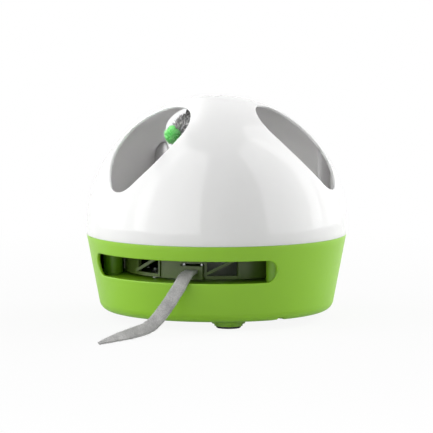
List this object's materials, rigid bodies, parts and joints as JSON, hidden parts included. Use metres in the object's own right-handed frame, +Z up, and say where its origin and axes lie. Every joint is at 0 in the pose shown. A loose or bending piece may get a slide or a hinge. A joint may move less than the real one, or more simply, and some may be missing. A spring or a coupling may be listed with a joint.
{
  "type": "hiding mouse cat toy",
  "caption": "Battery cat toy: a white dome with egg-shaped paw windows on a green base, where a plush mouse and a felt tail in a slot sweep to and fro on one spindle.",
  "frame": {"origin": "on the floor, under the middle of the dome and the base", "axes": "+Z up along the spindle, -Y the front with the tail slot a little to its left, +X right"},
  "size_m": [0.1981, 0.2371, 0.163],
  "materials": {
    "white_gloss_plastic": "glossy moulded ABS",
    "lime_gloss_plastic": "glossy moulded ABS",
    "olive_plastic": "satin moulded ABS",
    "grey_plastic": "satin moulded ABS",
    "black_plastic": "moulded nylon",
    "white_acetal": "natural acetal",
    "zinc_steel": "zinc plated",
    "nickel_steel": "nickel plated",
    "bronze": "sintered",
    "cell_wrap": "printed film, left bare",
    "board_laminate": "solder resist",
    "capacitor_sleeve": "shrunk film",
    "red_insulation": "PVC",
    "black_insulation": "PVC",
    "grey_rubber": "moulded",
    "tail_felt": "grey felt",
    "mouse_plush": "grey short pile plush",
    "ear_felt": "dark grey felt",
    "pompom_yarn": "green yarn",
    "eye_plastic": "polished"
  },
  "bodies": {
    "casing": {"dome_shell": "white_gloss_plastic", "base_tub": "lime_gloss_plastic", "paw_deck": "grey_plastic", "chassis_plate": "lime_gloss_plastic", "gearbox_cover": "grey_plastic", "casing_screws": "zinc_steel", "dome_screws": "zinc_steel", "chassis_screws": "zinc_steel", "cover_screws": "zinc_steel", "lower_bush": "bronze", "upper_bush": "bronze", "idler_pins": "zinc_steel", "motor_can": "nickel_steel", "motor_end_cap": "white_acetal", "motor_clamp": "olive_plastic", "motor_clamp_screws": "zinc_steel", "battery_cell_1": "cell_wrap", "battery_cell_2": "cell_wrap", "battery_cell_3": "cell_wrap", "contact_plates": "nickel_steel", "contact_springs": "nickel_steel", "circuit_board": "board_laminate", "controller_chip": "black_plastic", "capacitor": "capacitor_sleeve", "board_screws": "zinc_steel", "switch_body": "black_plastic", "red_lead": "red_insulation", "black_lead": "black_insulation", "rubber_foot_1": "grey_rubber", "rubber_foot_2": "grey_rubber", "rubber_foot_3": "grey_rubber"},
    "carousel": {"tail_drum": "olive_plastic", "spindle": "zinc_steel", "spindle_clip": "zinc_steel", "output_gear": "white_acetal", "tail_clamp": "olive_plastic", "tail_clamp_screws": "zinc_steel", "tail": "tail_felt", "mouse_stem": "olive_plastic", "mouse_body": "mouse_plush", "mouse_head": "mouse_plush", "mouse_ear_left": "ear_felt", "mouse_ear_right": "ear_felt", "nose_pompom": "pompom_yarn", "mouse_eyes": "eye_plastic"},
    "idler_two": {"idler_gear_two": "white_acetal"},
    "idler_one": {"idler_gear_one": "white_acetal"},
    "motor_rotor": {"motor_shaft": "zinc_steel", "motor_pinion": "bronze"},
    "door": {"battery_door": "lime_gloss_plastic"},
    "knob": {"switch_knob": "black_plastic"}
  },
  "joints": [
    {"name": "mouse_sweep", "type": "hinge", "parent": "casing", "child": "carousel", "pos_m": [0, 0, 0.05], "axis": [0, 0, 1], "range_deg": [-46, 34]},
    {"name": "idler_two_spin", "type": "hinge", "parent": "casing", "child": "idler_two", "pos_m": [0.0152, 0, 0.04], "axis": [0, 0, 1], "range_deg": [-116, 156]},
    {"name": "idler_one_spin", "type": "hinge", "parent": "casing", "child": "idler_one", "pos_m": [0.0076, -0.01316, 0.04], "axis": [0, 0, 1], "range_deg": [-440, 326]},
    {"name": "motor_spin", "type": "hinge", "parent": "casing", "child": "motor_rotor", "pos_m": [-0.0076, -0.01316, 0.04], "axis": [0, 0, 1], "range_deg": [-912, 1232]},
    {"name": "battery_door_open", "type": "hinge", "parent": "casing", "child": "door", "pos_m": [0, 0.0095, 0.0072], "axis": [-1, 0, 0], "range_deg": [0, 95]},
    {"name": "power_switch_slide", "type": "slide", "parent": "casing", "child": "knob", "axis": [1, 0, 0], "range_m": [0, 0.004]}
  ],
  "couplings": [
    {"joint": "idler_two_spin", "follows": "mouse_sweep", "ratio": -2.8},
    {"joint": "idler_one_spin", "follows": "mouse_sweep", "ratio": 7.84},
    {"joint": "motor_spin", "follows": "mouse_sweep", "ratio": -21.952}
  ]
}
